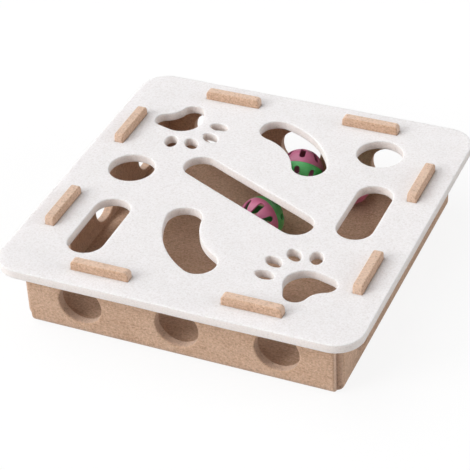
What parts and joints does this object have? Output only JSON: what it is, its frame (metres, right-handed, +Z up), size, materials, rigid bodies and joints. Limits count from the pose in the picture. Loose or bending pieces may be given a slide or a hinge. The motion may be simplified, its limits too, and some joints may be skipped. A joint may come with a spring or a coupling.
{
  "type": "felt cat play box",
  "caption": "Square felt play box for a cat: a white top with play cut-outs is held by the tabs of a folded brown tray with side holes, and rattle balls roll inside.",
  "frame": {"origin": "on the ground under the middle of the box", "axes": "+X to the right and +Y to the back as the box is pictured, +Z up"},
  "size_m": [0.3, 0.3, 0.071],
  "materials": {
    "white_felt": "needled felt, faintly mottled white",
    "brown_felt": "needled felt, mottled light brown",
    "pink_plastic": "moulded, glossy",
    "green_plastic": "moulded, glossy",
    "bell_metal": "plated sheet",
    "pellet_metal": "bright"
  },
  "bodies": {
    "tray_floor": {"floor_panel": "brown_felt"},
    "front_side": {"front_wall": "brown_felt"},
    "rear_side": {"rear_wall": "brown_felt"},
    "left_side": {"left_wall": "brown_felt"},
    "right_side": {"right_wall": "brown_felt"},
    "top": {"top_panel": "white_felt"},
    "middle_bell": {"middle_ball_bell_top": "bell_metal", "middle_ball_bell_bottom": "bell_metal"},
    "middle_shell": {"middle_ball_pink_half": "pink_plastic", "middle_ball_green_half": "green_plastic"},
    "middle_pellet": {"middle_ball_pellet": "pellet_metal"},
    "rear_bell": {"rear_ball_bell_top": "bell_metal", "rear_ball_bell_bottom": "bell_metal"},
    "rear_shell": {"rear_ball_pink_half": "pink_plastic", "rear_ball_green_half": "green_plastic"},
    "rear_pellet": {"rear_ball_pellet": "pellet_metal"},
    "right_bell": {"right_ball_bell_top": "bell_metal", "right_ball_bell_bottom": "bell_metal"},
    "right_shell": {"right_ball_pink_half": "pink_plastic", "right_ball_green_half": "green_plastic"},
    "right_pellet": {"right_ball_pellet": "pellet_metal"}
  },
  "joints": [
    {"name": "top_lift", "type": "slide", "parent": "tray_floor", "child": "top", "axis": [0, 0, 1], "range_m": [0, 0.3]},
    {"name": "front_fold", "type": "hinge", "parent": "tray_floor", "child": "front_side", "pos_m": [0, -0.13066, 0.00234], "axis": [1, 0, 0], "range_deg": [0, 90]},
    {"name": "rear_fold", "type": "hinge", "parent": "tray_floor", "child": "rear_side", "pos_m": [0, 0.13066, 0.00234], "axis": [-1, 0, 0], "range_deg": [0, 90]},
    {"name": "left_fold", "type": "hinge", "parent": "tray_floor", "child": "left_side", "pos_m": [-0.13066, 0, 0.00234], "axis": [0, -1, 0], "range_deg": [0, 90]},
    {"name": "right_fold", "type": "hinge", "parent": "tray_floor", "child": "right_side", "pos_m": [0.13066, 0, 0.00234], "axis": [0, 1, 0], "range_deg": [0, 90]},
    {"name": "middle_ball_travel", "type": "slide", "parent": "tray_floor", "child": "middle_bell", "axis": [1, 0, 0], "range_m": [-0.11, 0.0105]},
    {"name": "middle_ball_roll", "type": "hinge", "parent": "middle_bell", "child": "middle_shell", "pos_m": [0.0055, 0.0225, 0.0273], "axis": [0, 1, 0], "continuous": true},
    {"name": "middle_pellet_hop", "type": "slide", "parent": "middle_bell", "child": "middle_pellet", "axis": [0, 0, 1], "range_m": [0, 0.008]},
    {"name": "rear_ball_travel", "type": "slide", "parent": "tray_floor", "child": "rear_bell", "axis": [1, 0, 0], "range_m": [-0.1155, 0.005]},
    {"name": "rear_ball_roll", "type": "hinge", "parent": "rear_bell", "child": "rear_shell", "pos_m": [0.011, 0.0985, 0.0273], "axis": [0, 1, 0], "continuous": true},
    {"name": "rear_pellet_hop", "type": "slide", "parent": "rear_bell", "child": "rear_pellet", "axis": [0, 0, 1], "range_m": [0, 0.008]},
    {"name": "right_ball_travel", "type": "slide", "parent": "tray_floor", "child": "right_bell", "axis": [0, 1, 0], "range_m": [-0.2015, 0.008]},
    {"name": "right_ball_roll", "type": "hinge", "parent": "right_bell", "child": "right_shell", "pos_m": [0.0555, 0.097, 0.0273], "axis": [-1, 0, 0], "continuous": true},
    {"name": "right_pellet_hop", "type": "slide", "parent": "right_bell", "child": "right_pellet", "axis": [0, 0, 1], "range_m": [0, 0.008]}
  ],
  "couplings": [
    {"joint": "front_fold", "follows": "top_lift", "rad_per_m": 5.2359},
    {"joint": "rear_fold", "follows": "top_lift", "rad_per_m": 5.2359},
    {"joint": "left_fold", "follows": "top_lift", "rad_per_m": 5.2359},
    {"joint": "right_fold", "follows": "top_lift", "rad_per_m": 5.2359},
    {"joint": "middle_ball_roll", "follows": "middle_ball_travel", "rad_per_m": 52.632},
    {"joint": "rear_ball_roll", "follows": "rear_ball_travel", "rad_per_m": 52.632},
    {"joint": "right_ball_roll", "follows": "right_ball_travel", "rad_per_m": 52.632}
  ]
}
